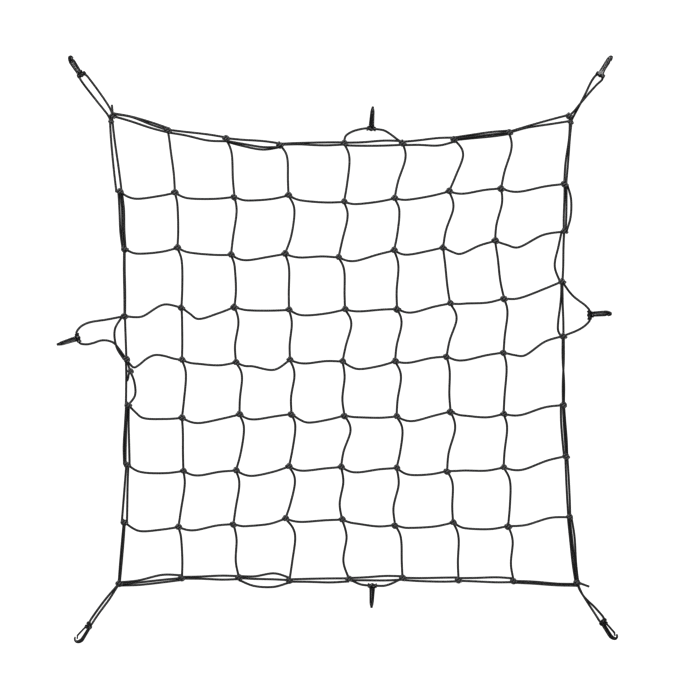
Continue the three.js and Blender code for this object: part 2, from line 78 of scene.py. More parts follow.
# How far each knot lies from its place in an even net, to the right and up. One row of knots to a line,
# top first.
KNOT_ROWS = [
    dict(right=[-14, -16, -12, -16, 0, 5, -4, -6, 2], up=[34, 5, -11, -23, -20, -19, -12, 1, 35]),
    dict(right=[0, -2, 5, 1, 0, -11, -14, -22, -7], up=[-5, -7, -15, -12, -25, -18, -4, 2, 11]),
    dict(right=[10, 3, -2, -6, -11, -12, -26, -34, -8], up=[-7, -5, -19, -17, -24, -10, -4, 9, 28]),
    dict(right=[10, 11, 5, 2, 2, -6, -12, -16, -12], up=[-29, -12, -11, -17, -16, -15, -4, 6, 40]),
    dict(right=[13, 12, 8, 4, -3, -10, -19, -17, -10], up=[-4, -5, -10, -5, -8, -8, 2, 10, 43]),
    dict(right=[17, 12, 15, 7, 1, -7, -11, -17, -10], up=[17, -9, -2, -1, -4, -6, 4, -1, 17]),
    dict(right=[15, 15, 8, 2, -6, -7, -18, -17, -4], up=[10, -3, -2, 6, 5, 3, -3, 4, 27]),
    dict(right=[9, 5, 3, -5, -4, -10, -6, -8, 2], up=[7, -3, 3, 14, 12, 1, 6, -1, 17]),
    dict(right=[-1, 12, 14, 3, 10, 5, 5, 3, 18], up=[-3, 8, 8, 3, 5, 7, 4, 2, -1]),
]
SPARE_KNOT = (-411, -43)
SPARE_ROW = 4
SPARE_OVAL = (12, 9)
# The spare knot's row starts at the border's own knot, and its first cord dips beside the spare knot.
DIPPING = [
    (-412, -28), (-403.8, -35), (-394.2, -30), (-377.2, -16.4), (-362, -10), (-344, -11.6), (-325, -17),
]
SPARE_TAIL = dict(end=(-417.6, -62), bows=(1.4, 0))

# Two corners have a smaller knot below the large one.
SECOND_KNOTS = [dict(place=(-449.4, 456.8), scale=0.8), dict(place=(468.6, 454.8), scale=0.86)]

# A border cord ends to one side of a knot's middle: a share of its bow there, or as given here for a
# side, a mesh and a cord. Its first end is the left or lower one.
SLOT_SHARE = 0.75
WIDEST_SLOT = 4.8
FIRST_SLOTS = {
    ("top", 0, 0): -6.2,
    ("top", 0, 1): -4.4,
    ("top", 0, 2): -0.6,
    ("left", 0, 0): -7.0,
    ("left", 0, 1): 3.6,
    ("left", 4, 0): -5.0,
    ("left", 5, 0): -6.5,
    ("left", 5, 1): -3.4,
    ("left", 5, 2): 4.4,
    ("left", 6, 0): -5.2,
    ("left", 6, 1): 5.2,
}
LAST_SLOTS = {
    ("top", 0, 0): -5.3,
    ("top", 0, 1): -1.4,
    ("top", 0, 2): 3.0,
    ("top", 7, 1): 10.5,
    ("left", 0, 0): -6.4,
    ("left", 0, 1): -2.0,
    ("left", 6, 0): -2.0,
    ("left", 6, 1): 2.0,
    ("bottom", 5, 0): -4.4,
    ("bottom", 5, 1): 3.4,
    ("bottom", 7, 0): 3.6,
    ("bottom", 7, 1): 6.8,
    ("right", 0, 0): 1.6,
    ("right", 0, 1): 6.0,
}

# Where along a cord its bows are, by how many it has.
BOW_PLACES = {2: (0.3, 0.7), 3: (0.16, 0.3, 0.7), 4: (0.1, 0.26, 0.57, 0.8)}
# An inner cord reaches a share of its first bow early: less of a bow deeper than DEEP_BOW, down to a
# least share.
EARLY_SHARE = 0.84
DEEP_BOW = 10
LESS_PER_MM = 0.029
LEAST_SHARE = dict(row=0.55, column=0.8)

# How far each cord bows off the straight line from knot to knot, near its first knot and near its second:
# rows of inner cords from the left, bowing down the page, and columns from the top, bowing to the right.
ROW_BOWS = [
    [(13, 7), (9, 6), (8, 6), (7, 5), (6, 4), (6, 4), (6, 1), (9, 2)],
    [(10, 7), (6, 4), (11, 5), (5, 0), (11, 4), (10, 5), (17, 5), (19, 1)],
    [(6, -11), (23, 12), (5, 3), (11, 7), (4, 1), (10, 3), (3, 5), (8, 4)],
    [(-17, -10), (6, 7), (9, 18), (6, 0), (15, 9), (5, 0), (10, 3), (17, 1)],
    [(18, 10), (12, 6), (10, 4), (16, 9), (3, 3), (12, 5), (7, 8), (7, -1)],
    [(12, 8), (9, 2), (13, 8), (8, 3), (10, 3), (12, 8), (1, 4), (11, 2)],
    [(15, 8), (8, 1), (7, 7), (6, 2), (5, 6), (7, 6), (10, 8), (3, -4)],
]
COLUMN_BOWS = [
    [(1, 2), (4, 3), (7, 4), (1, 1), (8, 4), (1, 0), (5, 2), (4, 3)],
    [(7, 2), (6, 2), (6, 5), (7, -1), (10, 3), (11, 7), (8, 3), (3, -3)],
    [(10, 4), (14, 10), (6, 2), (5, 0), (8, 0), (9, 5), (14, 8), (17, 8)],
    [(11, 6), (10, 4), (8, 3), (14, 5), (3, -3), (14, 3), (4, -4), (5, -7)],
    [(10, 2), (10, 6), (7, 1), (10, 2), (11, 3), (12, 7), (5, -4), (8, 3)],
    [(21, 10), (12, 2), (0, -1), (15, 4), (4, 0), (11, 1), (8, 2), (8, 2)],
    [(9, 2), (5, -1), (0, -2), (7, 2), (6, 2), (7, 2), (11, 6), (6, -2)],
]

# The border's cords: for each mesh along the side, from the left or from the top, the bows of each cord
# there, down the page or to the right.
BORDER_SIDES = {
    "top": [
        [(-9, -8), (-8, -3.5), (0.2, 3)],
        [(-3, -4), (4, 8)],
        [(-2, -4), (6, 8), (10, 13)],
        [(-3, -3), (0, 3)],
        [(-2, -5), (5, 5)],
        [(-3, -5), (6, 10)],
        [(-5, -6), (-1, -1), (2, 3)],
        [(-3, -3), (0, 6)],
    ],
    "bottom": [
        [(-2, -9), (2, 1), (7, 6)],
        [(-2, -4), (2, 4)],
        [(-4, -12), (1, 0), (15, 15)],
        [(-2, -2), (4, 6)],
        [(-3, -5), (3, 4)],
        [(-1, -3), (5, 5)],
        [(-4, -6), (3, 4)],
        [(1, 4), (5, 7)],
    ],
    "left": [
        [(-8, -8), (-1, 2)],
        [(-4, -6), (1, -2), (5, 2)],
        [(-2, -1), (0, 1)],
        [(0, 0), (-21, -19)],
        [(-1.5, -3.4)],
        [(-6, -8), (-3, -4), (1, 3)],
        [(-3, -4.2), (2.4, 4)],
        [(-1.6, -1.8), (1.6, 1.4)],
    ],
    "right": [
        [(3, -1), (4, 4)],
        [(0, -1), (4, 4), (13, 12.6)],
        [(-10, -16), (0, 1)],
        [(-2, -4.4, -9.4, -9.8), (0, 1)],
        [(-1, 2), (1, -1)],
        [(-6, -5.4), (-1, -0.6), (2.2, 3)],
        [(-2, -2), (3, 3)],
        [(-3.3, -4.2), (0.5, -0.4), (6, 2.7)],
    ],
}

# Free ends that stick out of a knot.
FREE_ENDS = [
    dict(row=0, column=0, end=(-448, 490)),
    dict(row=8, column=8, end=(506, -473)),
]

HOOKS = {
    "top_left": dict(base=(-507.8, 549.2), heading=127.8, roll=30),
    "top_right": dict(base=(527.6, 549), heading=61.4, roll=160),
    "bottom_left": dict(base=(-492, -549), heading=240, roll=65),
    "bottom_right": dict(base=(532.6, -542), heading=300.5, roll=-48),
    "top": dict(base=(70.4, 442), heading=85.8, roll=0),
    "bottom": dict(base=(72.6, -470.6), heading=267.7, roll=0),
    "left": dict(base=(-515.2, 24.2), heading=198.1, roll=0),
    "right": dict(base=(506, 69.6), heading=7.4, roll=22),
}

# The loops: the knots that each starts from and ends at, or the place of the smaller knot where it
# starts, the points that it passes on the way, and its length. A third number lifts it over the loop's
# other leg.
LOOPS = {
    "top_left": dict(
        start=(0, 0),
        start_at=(-449.4, 456.8),
        out=[(-455, 468), (-478, 497.4), (-502, 528.4)],
        back=[(-484, 530.4), (-451, 481.4)],
        end=(0, 0),
        length=224,
    ),
    "top_right": dict(
        start=(0, 8),
        start_at=(468.6, 454.8),
        out=[(474.6, 466.6), (482, 480.6), (491, 497.4), (500, 515), (509.6, 535.6)],
        back=[(519.6, 528.6), (504.6, 512, 1), (491, 496, 4.4), (480.6, 483.4, 4.4), (473, 474, 2.6)],
        end=(0, 8),
        length=226,
    ),
    "bottom_left": dict(
        start=(8, 0),
        out=[(-459, -496), (-480, -524)],
        back=[(-472, -524), (-453, -498)],
        end=(8, 0),
        length=217,
    ),
    "bottom_right": dict(
        start=(8, 8),
        out=[(493.8, -490.4), (519, -516)],
        back=[(511, -517.6), (494, -491, 4.4), (487, -480, 4.4)],
        end=(8, 8),
        length=201,
    ),
    "top": dict(
        start=(0, 4),
        out=[(18, 425.6), (27, 434.6), (38, 437.2), (50, 442.4)],
        back=[(89, 440.8), (101.8, 436.2), (118, 424.4)],
        end=(0, 5),
        length=141,
    ),
    "bottom": dict(
        start=(8, 4),
        out=[(38, -463.8), (52.4, -469.2)],
        back=[(92, -471.6), (108.6, -467.8)],
        end=(8, 5),
        length=112,
    ),
    "left": dict(
        start=(3, 0),
        out=[(-462.4, 60.2), (-487.8, 56.4), (-505.6, 50), (-515.5, 41)],
        back=[(-503.2, 11.6), (-490.4, 12.2), (-475, 18), (-459.8, 19.4), (-444.4, 14.2), (-434.2, 2.8)],
        end=(4, 0),
        length=240,
    ),
    "right": dict(
        start=(3, 8),
        out=[(470.8, 111.2), (488.6, 95.8), (500, 86.5)],
        back=[(497.6, 48.6), (483.6, 39.8), (468.2, 33.4)],
        end=(4, 8),
        length=165,
    ),
}
LOOP_TURN_RADIUS = 8.5  # of a corner loop inside its hook
LOOP_TURNS = range(-72, 73, 24)  # degrees
STRAIGHT_WAY = 11
LOOP_DROP = 45  # the length in which a loop comes down to the floor from its hook
LOOP_STEP = 15
LOOP_POINTS_APART = 2.2
LOOP_SIDES = 14

# The hook in its own frame: u from the T-bar to the tip, t along the T-bar, w towards the gate.
BAR_LENGTH = 18
BAR_RADIUS = 4.0
BAR_KNUCKLE = 0.4
BAR_DENT = 0.5  # between the knuckles, on the side away from the strap
BAR_ROUNDING = 0.9  # of its ends
BAR_STEPS, BAR_SIDES = 48, 40
PLAIN_BAR_STEPS, PLAIN_BAR_SIDES = 4, 8  # those of the CAD model's T-bar, which says how the hook lies
BORE_RADIUS = 2.6
BORE_STEP, BORE_SIDES = 1.5, 20
STRAP_SECTIONS = [
    dict(u=1.5, w=-1.6, turn=0, thick=5.2, wide=17),
    dict(u=4.6, w=-2.1, turn=0, thick=4.2, wide=13),
    dict(u=7.8, w=-2.7, turn=0, thick=3.0, wide=10.6),
    dict(u=31, w=-2.0, turn=4, thick=4.4, wide=8.4),
    dict(u=36, w=-0.8, turn=24, thick=4.8, wide=7.6),
    dict(u=40, w=2.4, turn=56, thick=4.8, wide=5.4),
    dict(u=41.6, w=6.4, turn=92, thick=4.2, wide=4.3),
    dict(u=40.4, w=10.2, turn=128, thick=3.4, wide=3.9),
    dict(u=37.4, w=12.8, turn=156, thick=2.8, wide=3.6),
    dict(u=33.4, w=13.8, turn=170, thick=2.2, wide=3.4),
]
BEND_START = 3  # the section where the bend begins
# Across the strap, in halves of its width: where its rounded edges and its two grooves lie.
FACE_PLACES = [-1, -0.94, -0.84, -0.66, -0.56, -0.3, -0.2, 0.2, 0.3, 0.56, 0.66, 0.84, 0.94, 1]
FACE_GROOVED = [0, 0, 0, 0, 1, 1, 0, 0, 1, 1, 0, 0, 0, 0]
FACE_ROUNDED = [0.42, 0.16, 0, 0, 0, 0, 0, 0, 0, 0, 0, 0, 0.16, 0.42]
GROOVE_DEPTH = 0.5
GROOVE_ENDS = (6, 38)
GROOVE_RUN_OUT = 5
GATE_PIN = (5.0, 5.0)
GATE_PIN_RADIUS = 0.7
PIN_HOLE_RADIUS = 1.05
GATE_ROOT_RADIUS = 1.45
GATE_WIDTH = 3.6
GATE_FACE = [(-1, -0.4), (-0.8, -1), (0.8, -1), (1, -0.4), (1, 0.4), (0.8, 1), (-0.8, 1), (-1, 0.4)]
GATE_SECTIONS = [
    dict(u=4.0, w=4.7, turn=14, thick=2.4),
    dict(u=9, w=6.1, turn=15, thick=2.0),
    dict(u=26, w=10.6, turn=15, thick=2.1),
    dict(u=29.4, w=11.1, turn=-20, thick=2.1),
    dict(u=32, w=9.6, turn=-32, thick=1.7),
    dict(u=35.4, w=8.6, turn=-4, thick=1.5),
]
CHEEK_THICKNESS = 1.4
CHEEK_OUTLINE = [(0.5, 0), (8.2, -2.5), (7, 6.6), (3, 6.6)]
TOUCH_GAP = 0.3
MOST_PITCH = math.pi / 6
PITCH_HALVINGS = 16
SECTION_STEPS = 6  # from one section of a strap or gate to the next
SKIN_VOXEL = 0.36
SKIN_SOFTENING = 3

# ---- Camera ----

# It looks straight down from where the photograph's 700 picture elements are 2 mm each on the floor.
CAMERA_PLACE = (0.028, 0, 3.306)
SENSOR_WIDTH = 36
LENS = 85

camera_data = bpy.data.cameras.new("camera")
camera_data.sensor_width = SENSOR_WIDTH
camera_data.lens = LENS
camera = bpy.data.objects.new("camera", camera_data)
camera.location = CAMERA_PLACE
bpy.context.scene.collection.objects.link(camera)
bpy.context.scene.camera = camera


# ---- Curves ----

SPLINE_STEPS = 24  # between two points that a curve is given by


def at(place):
    """A point on the floor, from its two numbers."""
    return Vector((*place, 0))


def on_curve(start, leave, end, arrive, share):
    """How far a smooth curve has come at a share of its way, by its ends and its directions there."""
    return (
        start * (2 * share**3 - 3 * share**2 + 1)
        + leave * (share**3 - 2 * share**2 + share)
        + end * (3 * share**2 - 2 * share**3)
        + arrive * (share**3 - share**2)
    )


def spline(points, step):
    """A smooth line through the points, in even steps of about that many millimetres."""
    points = [Vector(p) for p in points]
    ends = [2 * points[0] - points[1]] + points + [2 * points[-1] - points[-2]]
    dense = []
    for before, start, end, after in zip(ends, ends[1:], ends[2:], ends[3:]):
        gaps = [max((b - a).length ** 0.5, 0.01) for a, b in ((before, start), (start, end), (end, after))]
        leave = (start - before) / gaps[0] - (end - before) / (gaps[0] + gaps[1]) + (end - start) / gaps[1]
        arrive = (end - start) / gaps[1] - (after - start) / (gaps[1] + gaps[2]) + (after - end) / gaps[2]
        leave, arrive = leave * gaps[1], arrive * gaps[1]
        for k in range(SPLINE_STEPS):
            dense.append(on_curve(start, leave, end, arrive, k / SPLINE_STEPS))
    dense.append(points[-1])
    return evenly(dense, step)


def evenly(line, step):
    """The same line, with its points at even distances of about that many millimetres."""
    lengths = [0]
    for a, b in zip(line, line[1:]):
        lengths.append(lengths[-1] + (b - a).length)
    count = max(2, round(lengths[-1] / step))
    out, reached = [], 0
    for k in range(count + 1):
        want = lengths[-1] * k / count
        while reached < len(line) - 2 and lengths[reached + 1] < want:
            reached += 1
        span = max(lengths[reached + 1] - lengths[reached], 1e-9)
        out.append(line[reached].lerp(line[reached + 1], (want - lengths[reached]) / span))
    return out


def length_of(line):
    return sum((b - a).length for a, b in zip(line, line[1:]))


# ---- Mesh building ----


class Build:
    """Collects vertices, faces and each vertex's place on its cord, for one object, in millimetres."""

    def __init__(self):
        self.places, self.faces, self.weave = [], [], []
        self.highlight_mask = 0.0  # 1 where the cord is bent hard, in a knot; there its colour is painted paler, as a highlight

    def tube(self, line, radius, sides=12, start_at=0.0):
        """A round tube along the line, closed at both ends."""
        normal = None
        along = start_at
        first = len(self.places)
        for k, point in enumerate(line):
            ahead = line[min(k + 1, len(line) - 1)] - line[max(k - 1, 0)]
            ahead.normalize()
            if normal is None:
                level = abs(ahead.z) < 0.9
                normal = ahead.cross(Vector((0, 0, 1)) if level else Vector((1, 0, 0))).normalized()
            else:
                normal = (normal - ahead * normal.dot(ahead)).normalized()
                along += (point - line[k - 1]).length
            other = ahead.cross(normal)
            size = radius(k / (len(line) - 1)) if callable(radius) else radius
            for side in range(sides):
                angle = 2 * math.pi * side / sides
                self.places.append(point + (normal * math.cos(angle) + other * math.sin(angle)) * size)
                self.weave.append((along, side / sides, self.highlight_mask))
        self.skin(first, len(line), sides)

    def rings(self, rings):
        """A skin from ring to ring, closed at both ends."""
        first, sides = len(self.places), len(rings[0])
        for ring in rings:
            self.places.extend(ring)
            self.weave.extend([(0, 0, 0)] * sides)
        self.skin(first, len(rings), sides)

    def skin(self, first, count, sides):
        """Faces between so many rings of vertices, from that first vertex on, and a cap on each end."""
        for k in range(count - 1):
            for side in range(sides):
                a = first + k * sides + side
                b = first + k * sides + (side + 1) % sides
                self.faces.append((a, b, b + sides, a + sides))
        self.faces.append(tuple(first + side for side in reversed(range(sides))))
        last = first + (count - 1) * sides
        self.faces.append(tuple(last + side for side in range(sides)))

    def object(self, name, matrix=None):
        """A Blender object of all this, laid in the net's frame by the matrix."""
        mesh = bpy.data.meshes.new(name)
        places = [matrix @ p for p in self.places] if matrix else self.places
        mesh.from_pydata([p * MM for p in places], [], self.faces)
        weave = mesh.attributes.new("weave", "FLOAT_VECTOR", "POINT")
        weave.data.foreach_set("vector", [number for triple in self.weave for number in triple])
        obj = bpy.data.objects.new(name, mesh)
        bpy.context.scene.collection.objects.link(obj)
        mesh.validate()
        outward = bmesh.new()
        outward.from_mesh(mesh)
        bmesh.ops.recalc_face_normals(outward, faces=outward.faces)
        outward.to_mesh(mesh)
        outward.free()
        for polygon in mesh.polygons:
            polygon.use_smooth = True
        return obj


# ---- The net's cords ----


def knot_place(row, column):
    return Vector(
        (
            NET_CENTRE[0] + (column - MESHES / 2) * MESH_PITCH + KNOT_ROWS[row]["right"][column],
            NET_CENTRE[1] + (MESHES / 2 - row) * MESH_PITCH + KNOT_ROWS[row]["up"][column],
            0,
        )
    )


def net_line(start, end, bows, first_slot=0.0, last_slot=0.0):
    """A cord's middle line in plan. Bows are to the right of someone who walks from start to end."""
    along = end - start
    aside = Vector((along.y, -along.x, 0)).normalized()
    shares = [(0, first_slot), *zip(BOW_PLACES[len(bows)], bows), (1, last_slot)]
    return spline([start + along * share + aside * bow for share, bow in shares], CORD_STEP)


def inner_line(start, end, bows, least_share):
    """An inner cord's line: it reaches part of its first bow soon after its first knot."""
    share = EARLY_SHARE - LESS_PER_MM * (abs(bows[0]) - DEEP_BOW)
    share = max(least_share, min(EARLY_SHARE, share))
    return net_line(start, end, [bows[0] * share, *bows])


def lay(line, lifts=None):
    """Puts a plan line on the floor: up into its knots at both ends, and over whatever it crosses."""
    total = length_of(line)
    so_far, out = 0.0, []
    for k, point in enumerate(line):
        if k:
            so_far += (point - line[k - 1]).length
        to_knot = min(so_far, total - so_far)
        climb = (KNOT_HEIGHT - CORD_RADIUS) * math.exp(-((to_knot / KNOT_RISE) ** 2))
        lift = lifts[k] if lifts else 0
        out.append(Vector((point.x, point.y, CORD_RADIUS + climb + lift)))
    return out


def knot(build, place, size, chance):
    """Turns of cord wrapped round the crossing, over a short core, with a bight of cord along one side."""
    # The knot's cord is marked to be painted paler, as a highlight.
    build.highlight_mask = 1.0
    lean = math.radians(KNOT_LEAN + chance.uniform(-LEAN_SPREAD, LEAN_SPREAD))
    along = Vector((math.cos(lean), math.sin(lean), 0))
    across = Vector((-math.sin(lean), math.cos(lean), 0))
    up = Vector((0, 0, 1))
    wide, high = WRAP_HALF_WIDTH * size, WRAP_HALF_HEIGHT * size
    radius = CORD_RADIUS * KNOT_CORD * size**0.5
    middle = Vector((place.x, place.y, high + radius - KNOT_SINK))
    slant = chance.uniform(*WRAP_SLANTS)
    phase = chance.uniform(-PHASE_SPREAD, PHASE_SPREAD)
    steps = int(WRAP_TURNS * WRAP_STEPS)
    wrap = []
    for k in range(steps + 1):
        share = k / steps
        angle = phase + 2 * math.pi * WRAP_TURNS * share
        reach = (share - 0.5) * WRAP_LENGTH * size + slant * math.cos(angle)
        wide_here = wide * (1 - WRAP_NARROWING * abs(2 * share - 1) ** 3)
        wrap.append(
            middle + along * reach + across * (wide_here * math.cos(angle)) + up * (high * math.sin(angle))
        )
    build.tube(wrap, radius, start_at=chance.uniform(*WEAVE_STARTS))
    side = chance.choice((-1, 1))
    bight = [
        middle + along * (reach * size) + across * (side * out * size) + up * (rise * size - high)
        for reach, out, rise in BIGHT
    ]
    bight = [Vector((p.x, p.y, max(p.z, radius))) for p in bight]
    build.tube(spline(bight, KNOT_STEP), radius, start_at=chance.uniform(*WEAVE_STARTS))
    core = [middle + along * reach * size for reach in (-CORE_HALF_LENGTH, 0, CORE_HALF_LENGTH)]
    build.tube(spline(core, KNOT_STEP), CORE_RADIUS * size)
    build.highlight_mask = 0.0


def row_line(row, mesh):
    """The cord of an inner row across one mesh."""
    left, right = knot_place(row, mesh), knot_place(row, mesh + 1)
    if row == SPARE_ROW and mesh == 0:
        return spline([left, *(at(place) for place in DIPPING), right], CORD_STEP)
    return inner_line(left, right, ROW_BOWS[row - 1][mesh], LEAST_SHARE["row"])


def column_line(column, mesh):
    """The cord of an inner column across one mesh, from below."""
    upper, lower = knot_place(mesh, column), knot_place(mesh + 1, column)
    bows = [-bow for bow in COLUMN_BOWS[column - 1][mesh]]
    return inner_line(upper, lower, bows, LEAST_SHARE["column"])[::-1]


def mesh_piece():
    chance = random.Random(5)
    build = Build()
    for number in range(1, MESHES):
        for mesh in range(MESHES):
            for line in (row_line(number, mesh), column_line(number, mesh)):
                build.tube(lay(line), CORD_RADIUS, start_at=chance.uniform(*WEAVE_STARTS))
    for row in range(1, MESHES):
        for column in range(1, MESHES):
            knot(build, knot_place(row, column), chance.uniform(*INNER_KNOT_SCALES), chance)
    return build.object("net_mesh")


def stacked(lines):
    """Lays cords side by side, the middle one last: where two are close, the later one rides up."""
    order = sorted(range(len(lines)), key=lambda number: -abs(number - (len(lines) - 1) / 2))
    lines = [lines[number] for number in order]
    laid, lifts = [], []
    count = len(lines[0])
    for number, line in enumerate(lines):
        lift = [0.0] * count
        for k in range(count):
            for below in range(number):
                apart = (line[k] - lines[below][k]).length
                if apart < CORD_DIAMETER:
                    lift[k] = max(lift[k], lifts[below][k] + math.sqrt(CORD_DIAMETER**2 - apart**2))
        for _ in range(LIFT_SMOOTHINGS):
            around = [lift[0], *lift, lift[-1]]
            lift = [max(here, (a + here + b) / 3) for a, here, b in zip(around, lift, around[2:])]
        lifts.append(lift)
        laid.append(lay(line, lift))
    return laid


def slot_for(bow):
    """How far to one side of a knot's middle a border cord ends, for its bow near that knot."""
    return max(-WIDEST_SLOT, min(WIDEST_SLOT, SLOT_SHARE * bow))


def border_stretch(side, mesh, start, end):
    """The border's cords along one mesh, side by side."""
    lines = []
    for cord, bows in enumerate(BORDER_SIDES[side][mesh]):
        if side in ("left", "right"):
            bows = bows[::-1]
        first_slot = FIRST_SLOTS.get((side, mesh, cord), slot_for(bows[0]))
        last_slot = LAST_SLOTS.get((side, mesh, cord), slot_for(bows[-1]))
        line = net_line(start, end, bows, first_slot, last_slot)
        lines.append(evenly(line, length_of(line) / BORDER_STEPS))
    return stacked(lines)


def free_end(start, end, bows):
    """A short end of cord that comes down from its knot and lies on the floor."""
    line = lay(net_line(start, end, bows))
    drop = line[0].z - CORD_RADIUS
    return [
        Vector((point.x, point.y, CORD_RADIUS + drop * (1 - k / len(line)) ** 2))
        for k, point in enumerate(line)
    ]


def border_piece():
    chance = random.Random(9)
    build = Build()
    laid = []
    for mesh in range(MESHES):
        laid += border_stretch("top", mesh, knot_place(0, mesh), knot_place(0, mesh + 1))
        laid += border_stretch("bottom", mesh, knot_place(MESHES, mesh), knot_place(MESHES, mesh + 1))
        laid += border_stretch("left", mesh, knot_place(mesh + 1, 0), knot_place(mesh, 0))
        laid += border_stretch("right", mesh, knot_place(mesh + 1, MESHES), knot_place(mesh, MESHES))
    spare = at(SPARE_KNOT)
    laid.append(lay(net_line(knot_place(SPARE_ROW + 1, 0), spare, SPARE_OVAL)))
    laid.append(lay(net_line(spare, knot_place(SPARE_ROW, 0), (0, 0))))
    laid.append(free_end(spare, at(SPARE_TAIL["end"]), SPARE_TAIL["bows"]))
    for end in FREE_ENDS:
        laid.append(free_end(knot_place(end["row"], end["column"]), at(end["end"]), (0, 0)))
    for line in laid:
        build.tube(line, CORD_RADIUS, start_at=chance.uniform(*WEAVE_STARTS))
    knot(build, spare, 1.0, chance)
    for second in SECOND_KNOTS:
        knot(build, at(second["place"]), second["scale"], chance)
    for row in range(MESHES + 1):
        for column in range(MESHES + 1):
            if row % MESHES == 0 or column % MESHES == 0:
                knot(build, knot_place(row, column), chance.uniform(*BORDER_KNOT_SCALES), chance)
    return build.object("net_border")


# ---- Hooks ----


def strap_rings(sections, width=None, fine=1, corners=None):
    """Rings across the middle line of a strap or gate: plain rectangles, or shaped by corners."""
    keys = ("u", "w", "turn", "thick", "wide")
    rows = [[section.get(key, width) for key in keys] for section in sections]
    if fine > 1:
        rows = smooth_rows(rows, fine)
    rings = []
    for u, w, turn, thick, wide in rows:
        sine, cosine = math.sin(math.radians(turn)), math.cos(math.radians(turn))
        places = corners(thick, u) if corners else [(-1, -1), (1, -1), (1, 1), (-1, 1)]
        rings.append(
            [
                Vector((u - sine * level * thick / 2, side * wide / 2, w + cosine * level * thick / 2))
                for side, level in places
            ]
        )
    return rings


def smooth_rows(rows, fine):
    """Rows of numbers with smooth steps put in between, so many for each row."""
    out = []
    ends = [rows[0]] + rows + [rows[-1]]
    for before, start, end, after in zip(ends, ends[1:], ends[2:], ends[3:]):
        for k in range(fine):
            columns = zip(before, start, end, after)
            out.append([on_curve(b, (c - a) / 2, c, (d - b) / 2, k / fine) for a, b, c, d in columns])
    out.append(rows[-1])
    return out


def lowest(places, matrix):
    return min((matrix @ p).z for p in places)


def plain_bar():
    """The corners of the CAD model's T-bar."""
    places = []
    for k in range(PLAIN_BAR_STEPS + 1):
        radius = BAR_RADIUS + (BAR_KNUCKLE if k % 2 == 0 else -BAR_KNUCKLE)
        t = (k / PLAIN_BAR_STEPS - 0.5) * BAR_LENGTH
        for side in range(PLAIN_BAR_SIDES):
            angle = math.pi * (2 * side + 1) / PLAIN_BAR_SIDES
            places.append(Vector((radius * math.sin(angle), t, radius * math.cos(angle))))
    return places


def hook_frame(name):
    """Where a hook lies: rolled over, and pitched until its T-bar and its strap's far end both rest."""
    lie = HOOKS[name]
    rings = strap_rings(STRAP_SECTIONS)
    heel = plain_bar() + [p for ring in rings[: BEND_START + 1] for p in ring]
    toe = [p for ring in rings[BEND_START:] for p in ring]

    def turned(pitch):
        return (
            Matrix.Rotation(math.radians(lie["heading"]), 4, "Z")
            @ Matrix.Rotation(pitch, 4, "Y")
            @ Matrix.Rotation(math.radians(lie["roll"]), 4, "X")
        )

    high, low = -MOST_PITCH, MOST_PITCH
    for _ in range(PITCH_HALVINGS):
        middle = (high + low) / 2
        if lowest(toe, turned(middle)) > lowest(heel, turned(middle)):
            high = middle
        else:
            low = middle
    matrix = turned(high)
    matrix.translation = (*lie["base"], -min(lowest(heel, matrix), lowest(toe, matrix)))
    return matrix


def strap_corners(thick, u):
    """A section with rounded edges: each face has a rib down its middle, between two long grooves."""
    start, end = GROOVE_ENDS
    run_out = max(0.0, min(1.0, (u - start) / GROOVE_RUN_OUT, (end - u) / GROOVE_RUN_OUT))
    groove = GROOVE_DEPTH * 2 / thick * run_out
    face = [
        (side, 1 - groove * grooved - rounded)
        for side, grooved, rounded in zip(FACE_PLACES, FACE_GROOVED, FACE_ROUNDED)
    ]
    return [(side, -level) for side, level in face] + face[::-1]


def gate_corners(thick, u):
    return GATE_FACE


def cylinder_along_t(build, u, w, radius, length, sides=32):
    angles = [2 * math.pi * k / sides for k in range(sides)]
    build.rings(
        [
            [Vector((u + radius * math.cos(angle), t, w + radius * math.sin(angle))) for angle in angles]
            for t in (-length / 2, length / 2)
        ]
    )


def fused(obj):
    """Joins a piece's overlapping parts into one moulded skin."""
    remesh = obj.modifiers.new("fuse", "REMESH")
    remesh.mode = "VOXEL"
    remesh.voxel_size = SKIN_VOXEL * MM
    soften = obj.modifiers.new("soften", "SMOOTH")
    soften.factor = 0.5
    soften.iterations = SKIN_SOFTENING
    apply_modifiers(obj)


def apply_modifiers(obj):
    done = bpy.data.meshes.new_from_object(obj.evaluated_get(bpy.context.evaluated_depsgraph_get()))
    obj.modifiers.clear()
    obj.data = done


def cut_away(obj, build):
    """Cuts what was built out of the object."""
    tool = build.object("hole")
    cut = obj.modifiers.new("cut", "BOOLEAN")
    cut.operation = "DIFFERENCE"
    cut.object = tool
    cut.solver = "EXACT"
    apply_modifiers(obj)
    bpy.data.objects.remove(tool)


def bar_rings():
    """The T-bar: three knuckles, rounded ends and a dented back."""
    rings = []
    for k in range(BAR_STEPS + 1):
        share = k / BAR_STEPS
        wave = math.cos(4 * math.pi * share)
        to_end = min(1.0, (1 - abs(2 * share - 1)) * BAR_LENGTH / 2 / BAR_ROUNDING)
        radius = BAR_RADIUS + BAR_KNUCKLE * wave - BAR_ROUNDING * (1 - math.sqrt(1 - (1 - to_end) ** 2))
        ring = []
        for side in range(BAR_SIDES):
            angle = 2 * math.pi * side / BAR_SIDES
            back = max(0, -math.cos(angle)) * BAR_DENT * wave
            t = (share - 0.5) * BAR_LENGTH
            ring.append(Vector((radius * math.cos(angle) - back, t, radius * math.sin(angle))))
        rings.append(ring)
    return rings


def hook_shape():
    """The moulded hook in its own frame: strap, T-bar and the cheeks that hold the gate's pin."""
    build = Build()
    build.rings(strap_rings(STRAP_SECTIONS, fine=SECTION_STEPS, corners=strap_corners))
    build.rings(bar_rings())
    inner = GATE_WIDTH / 2 + TOUCH_GAP
    for side in (-1, 1):
        faces = (inner, inner + CHEEK_THICKNESS)
        build.rings([[Vector((u, side * t, w)) for u, w in CHEEK_OUTLINE] for t in faces])
    return build


